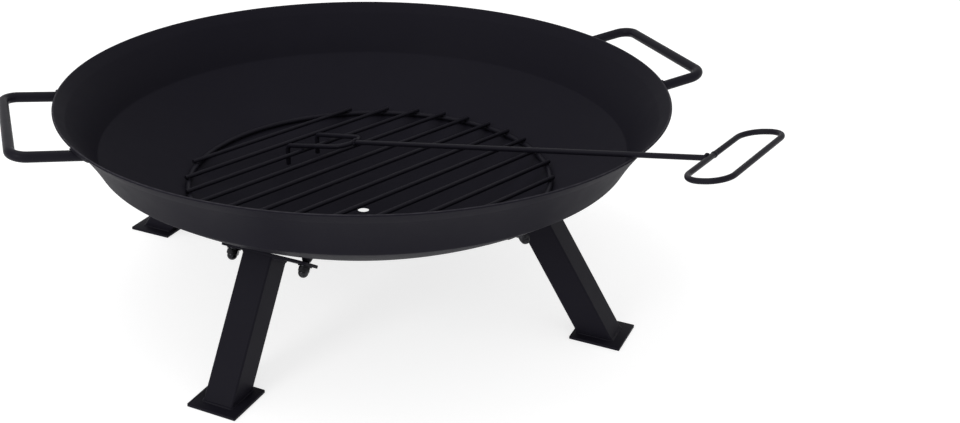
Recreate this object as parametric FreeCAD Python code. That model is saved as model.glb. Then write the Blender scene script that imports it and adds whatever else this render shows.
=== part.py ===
import FreeCAD, Part
import math
import os

from FreeCAD import Placement, Rotation, Vector

# Fire bowl on four splayed legs, with two rod handles, a loose grate and a loose poker.
# Millimetres. The origin is on the ground under the bowl's centre, +Z is up and +X goes
# through the right handle. Each leg stands midway between the handles and the front or back.

# Bowl: one pressed steel sheet
SHEET = 2.0
RIM_RADIUS = 300.0
RIM_HEIGHT = 214.0
DISH_RADIUS = 450.0
DISH_DEPTH = 139.0
KNUCKLE_BEND = 4.0
WALL_FLARE = 245.0
WALL_TOP_LEAN = 38.0
LIP_LEAN = 43.0
LIP_HEIGHT = 12.0
RIM_ROUNDING = 0.45
DRAIN_RADIUS = 6.0

# Handles: bent round rod, welded under the lip
HANDLE_ROD_RADIUS = 5.0
HANDLE_REACH = {"right": 336.0, "left": 341.0}
HANDLE_DROP = {"right": -1.0, "left": 3.0}
HANDLE_TILT = {"right": 10.5, "left": 5.5}
HANDLE_WIDTH = 157.0
HANDLE_BEND = 15.0
HANDLE_LENGTH = 75.0
WELD_LEG = 2.6

# Legs: square tube between a bolted mounting strip and a foot plate
LEG_AZIMUTHS = {"front_left": -135.0, "front_right": -45.0, "back_right": 45.0, "back_left": 135.0}
LEG_LEAN = 32.8
LEG_GROUND_RADIUS = 261.3
TUBE_SIDE = 30.0
TUBE_WALL = 1.5
TUBE_CORNER = 1.8
FOOT_SIDE = 50.0
FOOT_THICKNESS = 3.0
FOOT_CORNER = 0.8
FOOT_RADIUS = 262.6
FOOT_WELD_LEG = 1.5
STRIP_LENGTH = 88.0
STRIP_WIDTH = 30.0
STRIP_THICKNESS = 3.0
STRIP_CORNER = 4.0
STRIP_TOP_HEIGHT = 113.4
STRIP_SHIFTS = {"front_left": 4.5, "front_right": -4.5, "back_right": 4.5, "back_left": -4.5}

# Fasteners: M6 studs welded under the dish, each with a conical weld collar, washer and cap nut
STUD_SPACING = 75.0
STUD_RADIUS = 2.95
STUD_HOLE_RADIUS = 3.3
COLLAR_FOOT_RADIUS = 3.6
COLLAR_SLOPE = 22.0
COLLAR_GAP = 0.4
WASHER_RADIUS = 6.5
WASHER_THICKNESS = 1.2
NUT_ACROSS_FLATS = 10.0
NUT_HEX_HEIGHT = 5.0
NUT_DOME_RADIUS = 4.7
NUT_HEIGHT = 10.0
NUT_BORE_RADIUS = 3.0
NUT_BORE_DEPTH = 7.5

# Grate: a wire ring with parallel bars on top of it, loose in the dish and slid a little up
# one side of it
GRATE_RING_RADIUS = 182.8
GRATE_RING_WIRE = 2.5
GRATE_BAR_WIRE = 2.25
GRATE_BAR_COUNT = 11
GRATE_BAR_SPACING = 29.4
GRATE_BAR_OFFSET = 1.3
GRATE_BAR_OVERHANG = 0.3
GRATE_TURN = 26.1
GRATE_SLIP = 8.8
GRATE_SLIP_HEADING = -62.3
LOOSE_GAP = 0.35
RIM_GAP = 0.5

# Poker: rod with a two-pronged hook fork at one end and a loop handle at the other. Its own
# axes are X along the rod from the fork to the loop, Y across and Z up. It leans on the rim.
POKER_WIRE = 2.5
POKER_FORK_X = -1.1
POKER_FORK_Y = 29.8
POKER_HEADING = -59.4
POKER_ROLL = 1.0
PRONG_SPREAD = 20.0
PRONG_BASE = 16.5
PRONG_LENGTHS = (75.0, 80.0)
PRONG_BEND = 16.0
HOOK_LENGTH = 22.0
HOOK_LEAN = 13.0
HOOK_BEND = 6.0
PRONG_REST_BAR = 9
LOOP_START = 404.0
LOOP_END = 441.5
LOOP_LOW = -56.0
LOOP_HIGH = 73.0
LOOP_CORNER = 17.5
LOOP_SKEW = 4.0
LOOP_JOINT = 9.0
JOINT_GAP = 0.1

UP = Vector(0, 0, 1)
CENTRE = Vector(0, 0, 0)
DISH_CENTRE = Vector(0, 0, RIM_HEIGHT - DISH_DEPTH + DISH_RADIUS)
RING_HEIGHT = DISH_CENTRE.z + LOOSE_GAP - math.sqrt(
    (DISH_RADIUS - SHEET - GRATE_RING_WIRE) ** 2 - GRATE_RING_RADIUS ** 2
)
BAR_HEIGHT = RING_HEIGHT + GRATE_RING_WIRE + GRATE_BAR_WIRE
TUBE_LENGTH = (STRIP_TOP_HEIGHT / math.cos(math.radians(LEG_LEAN))) - STRIP_THICKNESS


def sin(degrees):
    return math.sin(math.radians(degrees))


def cos(degrees):
    return math.cos(math.radians(degrees))


def tan(degrees):
    return math.tan(math.radians(degrees))


def save(name, shape):
    """Write one piece, or a group of like pieces, as its own file."""
    if not shape.isValid():
        raise ValueError(name + " is not a valid shape")
    shape.exportStep("parts/" + name + ".step")
    print(name, len(shape.Solids), "solid(s)", round(shape.Volume, 1), "mm3")


def moved(shape, placement):
    """Copy of a shape carried from its own axes to the frame."""
    copy = shape.copy()
    copy.Placement = placement.multiply(copy.Placement)
    return copy


def bent_wire(points, bends, radius):
    """Round wire through points, with one tangent arc at each inner point."""
    edges = []
    start = points[0]
    for before, corner, after, bend in zip(points, points[1:], points[2:], bends):
        to_before = (before - corner).normalize()
        to_after = (after - corner).normalize()
        half = to_before.getAngle(to_after) / 2
        middle = (to_before + to_after).normalize()
        enter = corner + to_before * (bend / math.tan(half))
        leave = corner + to_after * (bend / math.tan(half))
        crown = corner + middle * (bend / math.sin(half) - bend)
        edges.append(Part.LineSegment(start, enter).toShape())
        edges.append(Part.Arc(enter, crown, leave).toShape())
        start = leave
    edges.append(Part.LineSegment(start, points[-1]).toShape())
    path = Part.Wire(edges)
    section = Part.Wire(Part.Circle(points[0], points[1] - points[0], radius).toShape())
    return path.makePipeShell([section], True, False)


def rounded_plate(length, width, thickness, corner):
    """Flat plate centred on its own axes, from z = 0 upwards, with rounded corners."""
    plate = Part.makeBox(length, width, thickness, Vector(-length / 2, -width / 2, 0))
    upright = [edge for edge in plate.Edges if abs(edge.tangentAt(edge.FirstParameter).z) > 0.9]
    return plate.makeFillet(corner, upright)


def rectangle(length, width, centre):
    """Closed rectangular wire in a level plane."""
    x, y = length / 2, width / 2
    corners = [Vector(-x, -y, 0), Vector(x, -y, 0), Vector(x, y, 0), Vector(-x, y, 0)]
    return Part.makePolygon([centre + corner for corner in corners + corners[:1]])


# Bowl ---------------------------------------------------------------------------------------


def circles_meet(first_centre, first_radius, second_centre, second_radius):
    """The lower of the two points where two circles of the section cross."""
    between = second_centre - first_centre
    apart = between.Length
    along = (first_radius ** 2 - second_radius ** 2 + apart ** 2) / (2 * apart)
    aside = math.sqrt(first_radius ** 2 - along ** 2)
    between.normalize()
    return first_centre + between * along + Vector(between.z, 0, -between.x) * aside


def bowl_outline(inset):
    """Points of the bowl's section, moved inwards from the outer face by inset.

    They are the knuckle between dish and wall, the middle of the flaring wall, the lip's
    crease and the rim's edge.
    """
    rim_drop = SHEET * sin(LIP_LEAN)
    lip_run = (LIP_HEIGHT - rim_drop) * tan(LIP_LEAN)
    outer_crease = Vector(RIM_RADIUS - lip_run, 0, RIM_HEIGHT - LIP_HEIGHT)
    outer_edge = Vector(RIM_RADIUS, 0, RIM_HEIGHT - rim_drop)
    edge = outer_edge + Vector(-cos(LIP_LEAN), 0, sin(LIP_LEAN)) * inset
    # The wall is an arc about a point outside the bowl, so it leans further as it rises.
    out_and_down = Vector(cos(WALL_TOP_LEAN), 0, -sin(WALL_TOP_LEAN))
    flare_centre = outer_crease + out_and_down * WALL_FLARE
    flare = WALL_FLARE + inset
    # The lip's line runs down from the edge until it meets that arc.
    down = Vector(-sin(LIP_LEAN), 0, -cos(LIP_LEAN))
    from_centre = edge - flare_centre
    half_b = from_centre.dot(down)
    lip_length = -half_b + math.sqrt(half_b ** 2 - from_centre.dot(from_centre) + flare ** 2)
    crease = edge + down * lip_length
    knuckle = circles_meet(DISH_CENTRE, DISH_RADIUS - inset, flare_centre, flare)
    to_middle = (crease + knuckle) / 2 - flare_centre
    middle = flare_centre + to_middle.normalize() * flare
    return knuckle, middle, crease, edge


def dish_arc(radius, knuckle, start_radius):
    """Arc of the dish's section between its drain hole, or the axis, and the knuckle."""
    def on_dish(r):
        return Vector(r, 0, DISH_CENTRE.z - math.sqrt(radius ** 2 - r ** 2))
    return Part.Arc(on_dish(start_radius), on_dish(knuckle.x / 2), knuckle).toShape()


def circle_edges(shape, point):
    """Ring edges of a turned shape that pass through a point of its section."""
    return [
        edge for edge in shape.Edges
        if abs(edge.BoundBox.ZMax - edge.BoundBox.ZMin) < 0.01
        and abs(edge.BoundBox.ZMax - point.z) < 0.05
        and abs(edge.BoundBox.XMax - point.x) < 0.3
    ]


def make_bowl():
    outer_knuckle, outer_wall, outer_crease, outer_edge = bowl_outline(0.0)
    inner_knuckle, inner_wall, inner_crease, inner_edge = bowl_outline(SHEET)
    outer_dish = dish_arc(DISH_RADIUS, outer_knuckle, DRAIN_RADIUS)
    inner_dish = dish_arc(DISH_RADIUS - SHEET, inner_knuckle, DRAIN_RADIUS)
    section = Part.Wire(Part.__sortEdges__([
        outer_dish,
        Part.Arc(outer_knuckle, outer_wall, outer_crease).toShape(),
        Part.LineSegment(outer_crease, outer_edge).toShape(),
        Part.LineSegment(outer_edge, inner_edge).toShape(),
        Part.LineSegment(inner_edge, inner_crease).toShape(),
        Part.Arc(inner_crease, inner_wall, inner_knuckle).toShape(),
        inner_dish,
        Part.LineSegment(outer_dish.Vertexes[0].Point, inner_dish.Vertexes[0].Point).toShape(),
    ]))
    bowl = Part.Face(section).revolve(CENTRE, UP, 360)
    for point, bend in (
        (outer_knuckle, KNUCKLE_BEND + SHEET),
        (inner_knuckle, KNUCKLE_BEND),
        (outer_edge, RIM_ROUNDING),
        (inner_edge, RIM_ROUNDING),
    ):
        bowl = bowl.makeFillet(bend, circle_edges(bowl, point))
    return bowl


def make_bowl_envelope():
    """The space inside the bowl's outer face, and a little above it, to trim what meets it."""
    knuckle, wall, crease, edge = bowl_outline(0.0)
    bottom = Vector(0, 0, DISH_CENTRE.z - DISH_RADIUS)
    above_edge = edge + UP * LIP_HEIGHT
    top = Vector(0, 0, above_edge.z)
    section = Part.Wire([
        dish_arc(DISH_RADIUS, knuckle, 0.0),
        Part.Arc(knuckle, wall, crease).toShape(),
        Part.LineSegment(crease, edge).toShape(),
        Part.LineSegment(edge, above_edge).toShape(),
        Part.LineSegment(above_edge, top).toShape(),
        Part.LineSegment(top, bottom).toShape(),
    ])
    return Part.Face(section).revolve(CENTRE, UP, 360)


# Handles ------------------------------------------------------------------------------------


def handle_placement(side):
    """Handle axes: X outwards from the grip's centreline, Y along the grip."""
    grip = Vector(HANDLE_REACH[side], 0, RIM_HEIGHT - HANDLE_DROP[side])
    tilt = Placement(grip, Rotation(Vector(0, 1, 0), -HANDLE_TILT[side]))
    turn = Placement(CENTRE, Rotation(UP, {"right": 0, "left": 180}[side]))
    return turn.multiply(tilt)


def make_handle(side, envelope):
    half = HANDLE_WIDTH / 2
    path = [
        Vector(-HANDLE_LENGTH, -half, 0),
        Vector(0, -half, 0),
        Vector(0, half, 0),
        Vector(-HANDLE_LENGTH, half, 0),
    ]
    rod = bent_wire(path, [HANDLE_BEND, HANDLE_BEND], HANDLE_ROD_RADIUS)
    return moved(rod, handle_placement(side)).cut(envelope)


def wall_distance(placement, across, envelope):
    """How far inwards from the grip a handle's leg meets the bowl's outer face."""
    start = placement.multVec(Vector(0, across, 0))
    end = placement.multVec(Vector(-HANDLE_LENGTH, across, 0))
    outside = Part.LineSegment(start, end).toShape().cut(envelope)
    return outside.Length


def make_handle_welds(envelope, handles):
    beads = []
    for side, handle in handles.items():
        placement = handle_placement(side)
        for across in (-HANDLE_WIDTH / 2, HANDLE_WIDTH / 2):
            inner = wall_distance(placement, across, envelope)
            length = 3 * WELD_LEG
            cone = Part.makeCone(
                HANDLE_ROD_RADIUS + WELD_LEG, HANDLE_ROD_RADIUS + 0.2, length,
                Vector(-inner - length / 2, across, 0), Vector(1, 0, 0),
            )
            beads.append(moved(cone, placement).cut(envelope).cut(handle))
    return Part.Compound([solid for bead in beads for solid in bead.Solids])


# Legs ---------------------------------------------------------------------------------------


def leg_placement(azimuth):
    """Leg axes: Z up the tube from the ground, Y round the bowl, X outwards."""
    lean = Placement(Vector(LEG_GROUND_RADIUS, 0, 0), Rotation(Vector(0, 1, 0), -LEG_LEAN))
    return Placement(CENTRE, Rotation(UP, azimuth)).multiply(lean)


def foot_placement(azimuth, height):
    """Foot axes: level, X outwards, centred on the foot plate."""
    out = Placement(Vector(FOOT_RADIUS, 0, height), Rotation())
    return Placement(CENTRE, Rotation(UP, azimuth)).multiply(out)


def above_foot():
    """The space above the foot plates, which the tubes are cut to."""
    size = 2 * RIM_RADIUS
    return Part.makeBox(2 * size, 2 * size, size, Vector(-size, -size, FOOT_THICKNESS))


def make_tube_envelope(azimuth):
    """The tube's outside as a filled bar, cut level where it meets the foot plate."""
    bar = rounded_plate(TUBE_SIDE, TUBE_SIDE, TUBE_LENGTH + TUBE_SIDE, TUBE_CORNER)
    bar.translate(Vector(0, 0, -TUBE_SIDE))
    return moved(bar, leg_placement(azimuth)).common(above_foot())


def make_tube(azimuth):
    inside = TUBE_SIDE - 2 * TUBE_WALL
    core = rounded_plate(inside, inside, TUBE_LENGTH + 3 * TUBE_SIDE, TUBE_CORNER - TUBE_WALL)
    core.translate(Vector(0, 0, -2 * TUBE_SIDE))
    return make_tube_envelope(azimuth).cut(moved(core, leg_placement(azimuth)))


def make_strip(azimuth, shift):
    strip = rounded_plate(STRIP_WIDTH, STRIP_LENGTH, STRIP_THICKNESS, STRIP_CORNER)
    for across in (-STUD_SPACING / 2, STUD_SPACING / 2):
        hole = Part.makeCylinder(STUD_HOLE_RADIUS, 3 * STRIP_THICKNESS, Vector(0, across, -STRIP_THICKNESS))
        strip = strip.cut(hole)
    strip.translate(Vector(0, shift, TUBE_LENGTH))
    return moved(strip, leg_placement(azimuth))


def make_foot(azimuth):
    plate = rounded_plate(FOOT_SIDE, FOOT_SIDE, FOOT_THICKNESS, FOOT_CORNER)
    return moved(plate, foot_placement(azimuth, 0))


def make_strip_welds(azimuth):
    """Beads on both sides of the tube's top, under the long arms of its mounting strip."""
    flat = TUBE_SIDE - 2 * TUBE_CORNER
    bead = Part.makeLoft([
        rectangle(flat, TUBE_SIDE, Vector(0, 0, TUBE_LENGTH - WELD_LEG)),
        rectangle(flat, TUBE_SIDE + 2 * WELD_LEG, Vector(0, 0, TUBE_LENGTH)),
    ], True, True)
    return moved(bead, leg_placement(azimuth)).cut(make_tube_envelope(azimuth))


def make_foot_welds(azimuth):
    """Bead round the bottom of the tube, on the foot plate."""
    long_side = TUBE_SIDE / cos(LEG_LEAN)
    shift = LEG_GROUND_RADIUS - FOOT_RADIUS
    low = Vector(shift - FOOT_THICKNESS * tan(LEG_LEAN), 0, 0)
    high = low + Vector(-FOOT_WELD_LEG * tan(LEG_LEAN), 0, FOOT_WELD_LEG)
    bead = Part.makeLoft([
        rectangle(long_side + 2 * FOOT_WELD_LEG, TUBE_SIDE + 2 * FOOT_WELD_LEG, low),
        rectangle(long_side, TUBE_SIDE, high),
    ], True, True)
    return moved(bead, foot_placement(azimuth, FOOT_THICKNESS)).cut(make_tube_envelope(azimuth))


# Fasteners ----------------------------------------------------------------------------------


def stud_places():
    """Each stud's axes: the leg's own, with the origin on the strip's lower face."""
    places = []
    for name, azimuth in LEG_AZIMUTHS.items():
        for across in (-STUD_SPACING / 2, STUD_SPACING / 2):
            step = Placement(Vector(0, across + STRIP_SHIFTS[name], TUBE_LENGTH), Rotation())
            places.append(leg_placement(azimuth).multiply(step))
    return places


def make_studs(envelope):
    below = WASHER_THICKNESS + NUT_BORE_DEPTH - 1.0
    stud = Part.makeCylinder(STUD_RADIUS, below + 4 * STRIP_THICKNESS, Vector(0, 0, -below))
    return Part.Compound([moved(stud, place).cut(envelope) for place in stud_places()])


def make_collars(envelope):
    base = STRIP_THICKNESS + COLLAR_GAP
    height = 3 * STRIP_THICKNESS
    top_radius = COLLAR_FOOT_RADIUS + height * tan(COLLAR_SLOPE)
    cone = Part.makeCone(COLLAR_FOOT_RADIUS, top_radius, height, Vector(0, 0, base))
    cone = cone.cut(Part.makeCylinder(STUD_RADIUS, 3 * height, Vector(0, 0, -height)))
    return Part.Compound([moved(cone, place).cut(envelope) for place in stud_places()])


def make_washers():
    ring = Part.makeCylinder(WASHER_RADIUS, WASHER_THICKNESS, Vector(0, 0, -WASHER_THICKNESS))
    ring = ring.cut(Part.makeCylinder(STUD_HOLE_RADIUS, 3 * WASHER_THICKNESS, Vector(0, 0, -2 * WASHER_THICKNESS)))
    return Part.Compound([moved(ring, place) for place in stud_places()])


def make_cap_nut():
    """Cap nut hanging down from z = 0, with its dome lowest and its thread open at the top."""
    across_corners = NUT_ACROSS_FLATS / cos(30)
    corners = [
        Vector(across_corners / 2 * cos(60 * i), across_corners / 2 * sin(60 * i), 0) for i in range(7)
    ]
    hexagon = Part.Face(Part.makePolygon(corners)).extrude(Vector(0, 0, -NUT_HEX_HEIGHT))
    chamfer = Part.makeCone(NUT_ACROSS_FLATS / 2, across_corners, NUT_HEIGHT, Vector(0, 0, -NUT_HEX_HEIGHT))
    hexagon = hexagon.common(chamfer)
    waist = NUT_HEIGHT - NUT_DOME_RADIUS
    neck = Part.makeCylinder(NUT_DOME_RADIUS, waist, Vector(0, 0, -waist))
    dome = Part.makeSphere(NUT_DOME_RADIUS, Vector(0, 0, -waist))
    bore = Part.makeCylinder(NUT_BORE_RADIUS, 2 * NUT_BORE_DEPTH, Vector(0, 0, -NUT_BORE_DEPTH))
    return hexagon.fuse([neck, dome]).cut(bore).removeSplitter()


def make_cap_nuts():
    nut = make_cap_nut()
    nut.translate(Vector(0, 0, -WASHER_THICKNESS))
    return Part.Compound([moved(nut, place) for place in stud_places()])


# Grate --------------------------------------------------------------------------------------


def grate_placement():
    """The grate rests level when it is centred; sliding it tilts it about the dish's centre."""
    ahead = Vector(cos(GRATE_SLIP_HEADING), sin(GRATE_SLIP_HEADING), 0)
    tilt = math.degrees(math.asin(GRATE_SLIP / (DISH_CENTRE.z - RING_HEIGHT)))
    slide = Placement(CENTRE, Rotation(ahead.cross(UP), tilt), DISH_CENTRE)
    return slide.multiply(Placement(CENTRE, Rotation(UP, GRATE_TURN)))


def make_grate_ring():
    ring = Part.makeTorus(GRATE_RING_RADIUS, GRATE_RING_WIRE, Vector(0, 0, RING_HEIGHT), UP)
    return moved(ring, grate_placement())


def bar_offset(number):
    """A bar's distance from the grate's centre, across the bars; number counts from 1."""
    return (number - (GRATE_BAR_COUNT + 1) / 2) * GRATE_BAR_SPACING + GRATE_BAR_OFFSET


def make_grate_bar(number):
    offset = bar_offset(number)
    reach = GRATE_RING_RADIUS + GRATE_RING_WIRE + GRATE_BAR_OVERHANG
    half = math.sqrt(reach ** 2 - offset ** 2)
    bar = Part.makeCylinder(GRATE_BAR_WIRE, 2 * half, Vector(-half, offset, BAR_HEIGHT), Vector(1, 0, 0))
    bar = bar.makeFillet(GRATE_BAR_WIRE * 0.4, circle_ends(bar))
    return moved(bar, grate_placement())


def circle_ends(rod):
    """The two end edges of a straight rod."""
    return [edge for edge in rod.Edges if edge.Curve.TypeId == "Part::GeomCircle"]


# Poker --------------------------------------------------------------------------------------


def poker_placement():
    """Where the poker lies: its lower prong over one bar and its rod over the rim."""
    foot = Vector(POKER_FORK_X, POKER_FORK_Y, 0)
    ahead = Vector(cos(POKER_HEADING), sin(POKER_HEADING), 0)
    rim = RIM_RADIUS - SHEET / 2
    half_b = foot.dot(ahead)
    to_rim = -half_b + math.sqrt(half_b ** 2 - foot.dot(foot) + rim ** 2)
    lower_prong = foot + Vector(ahead.y, -ahead.x, 0) * PRONG_SPREAD
    bar_middle = grate_placement().multVec(Vector(0, bar_offset(PRONG_REST_BAR), BAR_HEIGHT))
    along_bar = grate_placement().Rotation.multVec(Vector(1, 0, 0))
    between = bar_middle - lower_prong
    crossing = ahead.cross(along_bar).z
    to_bar = between.cross(along_bar).z / crossing
    bar_height = bar_middle.z + along_bar.z * between.cross(ahead).z / crossing
    rest = bar_height + GRATE_BAR_WIRE + LOOSE_GAP + PRONG_SPREAD * sin(POKER_ROLL)
    on_rim = RIM_HEIGHT + RIM_GAP
    slope = math.degrees(math.atan2(on_rim - rest, to_rim - to_bar))
    height = on_rim + POKER_WIRE / cos(slope) - to_rim * tan(slope)
    lean = Rotation(UP, POKER_HEADING).multiply(Rotation(Vector(0, 1, 0), -slope))
    roll = Rotation(Vector(1, 0, 0), POKER_ROLL)
    return Placement(foot + UP * height, lean.multiply(roll))


def make_poker_fork():
    """One wire bent to a U, with both tips turned down as hooks."""
    hook = Vector(-sin(HOOK_LEAN), 0, -cos(HOOK_LEAN)) * HOOK_LENGTH
    first_tip = Vector(-PRONG_LENGTHS[0], PRONG_SPREAD, 0)
    second_tip = Vector(-PRONG_LENGTHS[1], -PRONG_SPREAD, 0)
    path = [
        first_tip + hook,
        first_tip,
        Vector(0, PRONG_BASE, 0),
        Vector(0, -PRONG_BASE, 0),
        second_tip,
        second_tip + hook,
    ]
    return bent_wire(path, [HOOK_BEND, PRONG_BEND, PRONG_BEND, HOOK_BEND], POKER_WIRE)


def make_poker_rod():
    start = POKER_WIRE + JOINT_GAP
    end = LOOP_START - POKER_WIRE / cos(LOOP_SKEW) - POKER_WIRE * tan(LOOP_SKEW) - JOINT_GAP
    rod = Part.makeCylinder(POKER_WIRE, end - start, Vector(start, 0, 0), Vector(1, 0, 0))
    return rod


def make_poker_loop():
    """One wire bent to a long loop across the rod, its ends meeting beside the rod."""
    path = [
        Vector(LOOP_START, LOOP_JOINT - JOINT_GAP, 0),
        Vector(LOOP_START, LOOP_LOW, 0),
        Vector(LOOP_END, LOOP_LOW, 0),
        Vector(LOOP_END, LOOP_HIGH, 0),
        Vector(LOOP_START, LOOP_HIGH, 0),
        Vector(LOOP_START, LOOP_JOINT + JOINT_GAP, 0),
    ]
    joint = Vector(LOOP_START, 0, 0)
    skew = Placement(CENTRE, Rotation(UP, LOOP_SKEW), joint)
    return bent_wire([skew.multVec(point) for point in path], [LOOP_CORNER] * 4, POKER_WIRE)


def make_poker_welds(fork, rod, loop):
    """Small beads at the fork, at the loop and where the loop's ends meet."""
    blobs = [
        Part.makeSphere(POKER_WIRE * 1.5, Vector(POKER_WIRE, 0, 0)),
        Part.makeSphere(POKER_WIRE * 1.5, Vector(LOOP_START - POKER_WIRE, 0, 0)),
        Part.makeSphere(POKER_WIRE * 1.35, Vector(LOOP_START, LOOP_JOINT, 0)),
    ]
    beads = [blob.cut([fork, rod, loop]) for blob in blobs]
    return Part.Compound([solid for bead in beads for solid in bead.Solids if solid.Volume > 1.0])


def main():
    os.makedirs("parts", exist_ok=True)
    envelope = make_bowl_envelope()

    save("fire_bowl", make_bowl())

    handles = {side: make_handle(side, envelope) for side in HANDLE_REACH}
    for side, handle in handles.items():
        save("handle_" + side, handle)
    save("handle_welds", make_handle_welds(envelope, handles))

    for name, azimuth in LEG_AZIMUTHS.items():
        save("leg_tube_" + name, make_tube(azimuth))
        save("mounting_strip_" + name, make_strip(azimuth, STRIP_SHIFTS[name]))
        save("foot_plate_" + name, make_foot(azimuth))
    save("strip_welds", Part.Compound([make_strip_welds(a) for a in LEG_AZIMUTHS.values()]))
    save("foot_welds", Part.Compound([make_foot_welds(a) for a in LEG_AZIMUTHS.values()]))

    save("weld_studs", make_studs(envelope))
    save("stud_collars", make_collars(envelope))
    save("washers", make_washers())
    save("cap_nuts", make_cap_nuts())

    save("grate_ring", make_grate_ring())
    for number in range(1, GRATE_BAR_COUNT + 1):
        save("grate_bar_%02d" % number, make_grate_bar(number))

    place = poker_placement()
    print("poker fork base at", place.Base, "rod along", place.Rotation.multVec(Vector(1, 0, 0)))
    fork, rod, loop = make_poker_fork(), make_poker_rod(), make_poker_loop()
    save("poker_fork", moved(fork, place))
    save("poker_rod", moved(rod, place))
    save("poker_loop", moved(loop, place))
    save("poker_welds", moved(make_poker_welds(fork, rod, loop), place))


main()
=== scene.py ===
import math

import bmesh
import bpy
import numpy as np
from mathutils import Matrix, Vector, geometry, noise


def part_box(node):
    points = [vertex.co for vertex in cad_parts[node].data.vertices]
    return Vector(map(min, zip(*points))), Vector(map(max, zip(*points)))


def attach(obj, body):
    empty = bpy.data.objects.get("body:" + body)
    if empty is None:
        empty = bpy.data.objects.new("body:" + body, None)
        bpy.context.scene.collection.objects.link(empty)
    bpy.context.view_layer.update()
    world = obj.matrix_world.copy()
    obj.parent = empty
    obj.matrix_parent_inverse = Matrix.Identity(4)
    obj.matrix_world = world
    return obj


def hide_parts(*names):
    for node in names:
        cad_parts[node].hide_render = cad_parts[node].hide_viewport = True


# Fire bowl on four splayed legs, with two rod handles, a loose grate and a loose poker.
# Metres, in the frame's own axes: +Z is up and +X goes through the right handle.

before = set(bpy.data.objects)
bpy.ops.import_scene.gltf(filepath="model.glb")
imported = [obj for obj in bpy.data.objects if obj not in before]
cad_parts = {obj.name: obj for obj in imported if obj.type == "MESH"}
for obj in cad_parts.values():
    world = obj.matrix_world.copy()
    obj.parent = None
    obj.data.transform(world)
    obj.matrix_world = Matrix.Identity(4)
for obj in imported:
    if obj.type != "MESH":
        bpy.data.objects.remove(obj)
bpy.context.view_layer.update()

MM = 0.001
TURN = 2 * math.pi
UP = Vector((0, 0, 1))

# Bowl: one pressed sheet, with a dished bottom, a flaring wall and a narrow lip
SHEET = 2.0 * MM
RIM_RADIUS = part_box("fire_bowl")[1].x
RIM_HEIGHT = 214.0 * MM
DISH_RADIUS = 450.0 * MM
DISH_CENTRE = Vector((0, 0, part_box("fire_bowl")[0].z + DISH_RADIUS))
KNUCKLE_BEND = 4.0 * MM
WALL_FLARE = 245.0 * MM
WALL_TOP_LEAN = math.radians(38.0)
LIP_LEAN = math.radians(43.0)
LIP_HEIGHT = 12.0 * MM
LIP_BEND = 6.0 * MM
RIM_ROUNDING = 0.45 * MM
DRAIN_RADIUS = 6.0 * MM
DRAIN_ROUNDING = 0.6 * MM
BOWL_STEPS = 288

# Handles: bent rod, welded under the lip
HANDLE_ROD = 5.0 * MM
HANDLE_REACH = {"right": 336.0 * MM, "left": 341.0 * MM}
HANDLE_DROP = {"right": -1.0 * MM, "left": 3.0 * MM}
HANDLE_TILT = {"right": math.radians(10.5), "left": math.radians(5.5)}
HANDLE_TURN = {"right": 0.0, "left": math.pi}
HANDLE_WIDTH = 157.0 * MM
HANDLE_BEND = 15.0 * MM
HANDLE_LENGTH = 75.0 * MM
HANDLE_WELD = 2.6 * MM

# Legs: square tube between a bolted mounting strip and a foot plate
LEG_AZIMUTHS = {"front_left": -135.0, "front_right": -45.0, "back_right": 45.0, "back_left": 135.0}
LEG_LEAN = math.radians(32.8)
LEG_GROUND_RADIUS = 261.3 * MM
TUBE_SIDE = 30.0 * MM
TUBE_WALL = 1.5 * MM
TUBE_CORNER = 1.8 * MM
FOOT_SIDE = 50.0 * MM
FOOT_THICKNESS = 3.0 * MM
FOOT_CORNER = 0.8 * MM
FOOT_RADIUS = 262.6 * MM
FOOT_WELD = 1.4 * MM
STRIP_LENGTH = 88.0 * MM
STRIP_WIDTH = 30.0 * MM
STRIP_THICKNESS = 3.0 * MM
STRIP_CORNER = 4.0 * MM
STRIP_TOP = 113.4 * MM
STRIP_SHIFTS = {
    "front_left": 4.5 * MM, "front_right": -4.5 * MM, "back_right": 4.5 * MM, "back_left": -4.5 * MM,
}
STRIP_WELD = 2.3 * MM
TUBE_LENGTH = STRIP_TOP / math.cos(LEG_LEAN) - STRIP_THICKNESS
EDGE_BREAK = 0.4 * MM
CORNER_SHOULDER = 0.4 * MM

# Fasteners: studs welded under the dish, weld collars, washers and cap nuts
STUD_SPACING = 75.0 * MM
STUD_RADIUS = 2.95 * MM
THREAD_DEPTH = 0.35 * MM
THREAD_PITCH = 1.0 * MM
STUD_HOLE = 3.3 * MM
COLLAR_FOOT = 3.6 * MM
COLLAR_SLOPE = math.radians(22.0)
COLLAR_GAP = 0.4 * MM
WASHER_RADIUS = 6.5 * MM
WASHER_THICKNESS = 1.2 * MM
WASHER_ROUNDING = 0.2 * MM
NUT_FLATS = 10.0 * MM
NUT_HEX = 5.0 * MM
NUT_FACE = 4.6 * MM
NUT_CHAMFER = math.radians(30.0)
NUT_DOME = 4.7 * MM
NUT_HEIGHT = 10.0 * MM
NUT_BORE = 3.0 * MM
NUT_BORE_DEPTH = 7.5 * MM

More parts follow.
